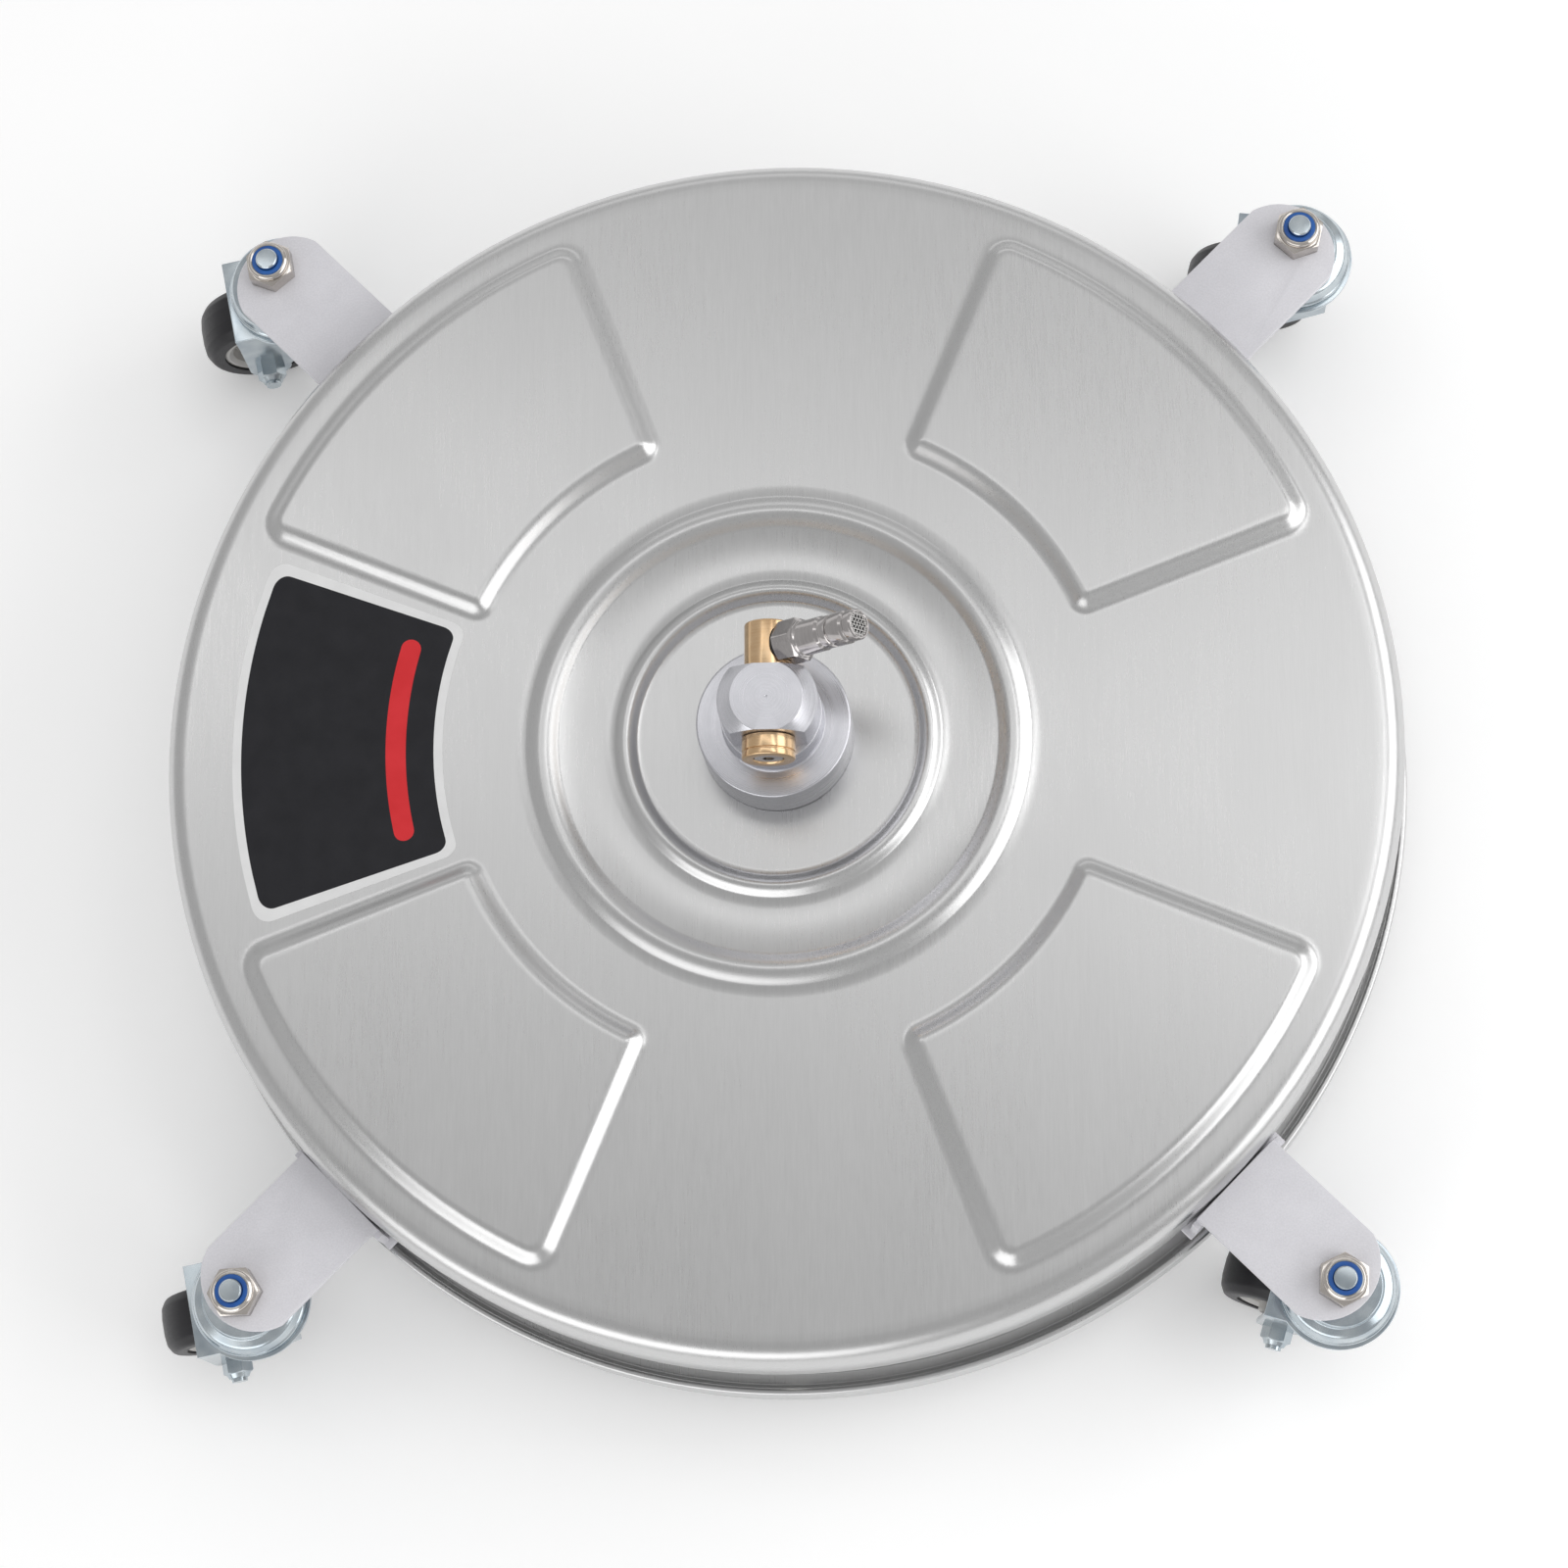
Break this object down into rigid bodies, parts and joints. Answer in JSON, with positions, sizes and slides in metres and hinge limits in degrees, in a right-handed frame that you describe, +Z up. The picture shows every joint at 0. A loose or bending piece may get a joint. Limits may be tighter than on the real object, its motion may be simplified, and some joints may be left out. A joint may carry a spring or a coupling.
{
  "type": "surface cleaner",
  "caption": "Round stainless pressure-washer floor cleaner: pan housing on swivel casters, spinning spray bar below and a swivelling quick-connect inlet on top.",
  "frame": {"origin": "on the floor, straight below the spray bar's axis", "axes": "+Z up along the spray bar's axis, -Y the front, +X the right, the side that the inlet plug points to at rest"},
  "size_m": [0.4769, 0.472, 0.1785],
  "materials": {
    "stainless_sheet": "brushed",
    "grey_painted_steel": "fine textured powder coat",
    "stainless_turned": "turned",
    "stainless_fasteners": "polished",
    "machined_aluminium": "turned, satin anodised",
    "brass": "turned",
    "bearing_steel": "ground",
    "seal_rubber": "matte",
    "label_film": "satin film",
    "blue_nylon": "semi gloss",
    "zinc_plated_steel": "bright zinc plate",
    "grey_polypropylene": "moulded",
    "tyre": "satin"
  },
  "bodies": {
    "deck": {"upper_housing": "stainless_sheet", "lower_ring": "stainless_sheet", "leg_rear_right": "grey_painted_steel", "leg_rear_left": "grey_painted_steel", "leg_front_left": "grey_painted_steel", "leg_front_right": "grey_painted_steel", "ring_spacers": "stainless_turned", "ring_bolts": "stainless_fasteners", "foot_bolts": "stainless_fasteners", "flange_nuts": "stainless_fasteners", "swivel_body": "machined_aluminium", "deck_gasket": "seal_rubber", "clamp_plate": "stainless_sheet", "clamp_screws": "stainless_fasteners", "bearing_outer_rings": "bearing_steel", "bearing_balls": "bearing_steel", "bearing_spacer": "bearing_steel", "bearing_circlip": "bearing_steel", "shaft_seal": "seal_rubber", "deck_label": "label_film", "caster_stems": "zinc_plated_steel", "caster_lower_nuts": "zinc_plated_steel", "caster_nuts": "stainless_fasteners", "nut_inserts": "blue_nylon", "caster_top_races": "zinc_plated_steel", "race_balls": "bearing_steel"},
    "spray_rotor": {"rotor_shaft": "stainless_turned", "bearing_inner_rings": "bearing_steel", "spray_hub": "stainless_turned", "hub_lock_nut": "stainless_fasteners", "spray_tube_right": "stainless_turned", "spray_tube_left": "stainless_turned", "nozzle_holder_right": "stainless_turned", "nozzle_holder_left": "stainless_turned", "tube_nuts": "stainless_turned", "spray_nozzles": "stainless_turned"},
    "inlet": {"inlet_shaft": "brass", "cross_orings": "seal_rubber", "inlet_end_cap": "brass", "cap_screw": "stainless_fasteners", "inlet_plug": "stainless_turned", "plug_seal": "seal_rubber", "inlet_filter": "stainless_turned"},
    "caster_rear_right": {"fork_rear_right": "zinc_plated_steel", "axle_rear_right": "zinc_plated_steel"},
    "wheel_rear_right": {"wheel_hub_rear_right": "grey_polypropylene", "tyre_rear_right": "tyre"},
    "caster_rear_left": {"fork_rear_left": "zinc_plated_steel", "axle_rear_left": "zinc_plated_steel"},
    "wheel_rear_left": {"wheel_hub_rear_left": "grey_polypropylene", "tyre_rear_left": "tyre"},
    "caster_front_left": {"fork_front_left": "zinc_plated_steel", "axle_front_left": "zinc_plated_steel"},
    "wheel_front_left": {"wheel_hub_front_left": "grey_polypropylene", "tyre_front_left": "tyre"},
    "caster_front_right": {"fork_front_right": "zinc_plated_steel", "axle_front_right": "zinc_plated_steel"},
    "wheel_front_right": {"wheel_hub_front_right": "grey_polypropylene", "tyre_front_right": "tyre"}
  },
  "joints": [
    {"name": "spray_bar_spin", "type": "hinge", "parent": "deck", "child": "spray_rotor", "pos_m": [0, 0, 0.061], "axis": [0, 0, 1], "continuous": true},
    {"name": "inlet_swivel", "type": "hinge", "parent": "deck", "child": "inlet", "pos_m": [0, 0, 0.144], "axis": [0, -1, 0], "range_deg": [-39, 141]},
    {"name": "caster_swivel_rear_right", "type": "hinge", "parent": "deck", "child": "caster_rear_right", "pos_m": [0.19997, 0.19997, 0.056], "axis": [0, 0, 1], "continuous": true},
    {"name": "wheel_spin_rear_right", "type": "hinge", "parent": "caster_rear_right", "child": "wheel_rear_right", "pos_m": [0.18462, 0.20213, 0.025], "axis": [-0.1392, -0.9903, 0], "continuous": true},
    {"name": "caster_swivel_rear_left", "type": "hinge", "parent": "deck", "child": "caster_rear_left", "pos_m": [-0.19997, 0.19997, 0.056], "axis": [0, 0, 1], "continuous": true},
    {"name": "wheel_spin_rear_left", "type": "hinge", "parent": "caster_rear_left", "child": "wheel_rear_left", "pos_m": [-0.21516, 0.19688, 0.025], "axis": [0.1994, -0.9799, 0], "continuous": true},
    {"name": "caster_swivel_front_left", "type": "hinge", "parent": "deck", "child": "caster_front_left", "pos_m": [-0.19997, -0.19997, 0.056], "axis": [0, 0, 1], "continuous": true},
    {"name": "wheel_spin_front_left", "type": "hinge", "parent": "caster_front_left", "child": "wheel_front_left", "pos_m": [-0.21516, -0.20306, 0.025], "axis": [0.1994, -0.9799, 0], "continuous": true},
    {"name": "caster_swivel_front_right", "type": "hinge", "parent": "deck", "child": "caster_front_right", "pos_m": [0.19997, -0.19997, 0.056], "axis": [0, 0, 1], "continuous": true},
    {"name": "wheel_spin_front_right", "type": "hinge", "parent": "caster_front_right", "child": "wheel_front_right", "pos_m": [0.18515, -0.19544, 0.025], "axis": [-0.2924, -0.9563, 0], "continuous": true}
  ]
}
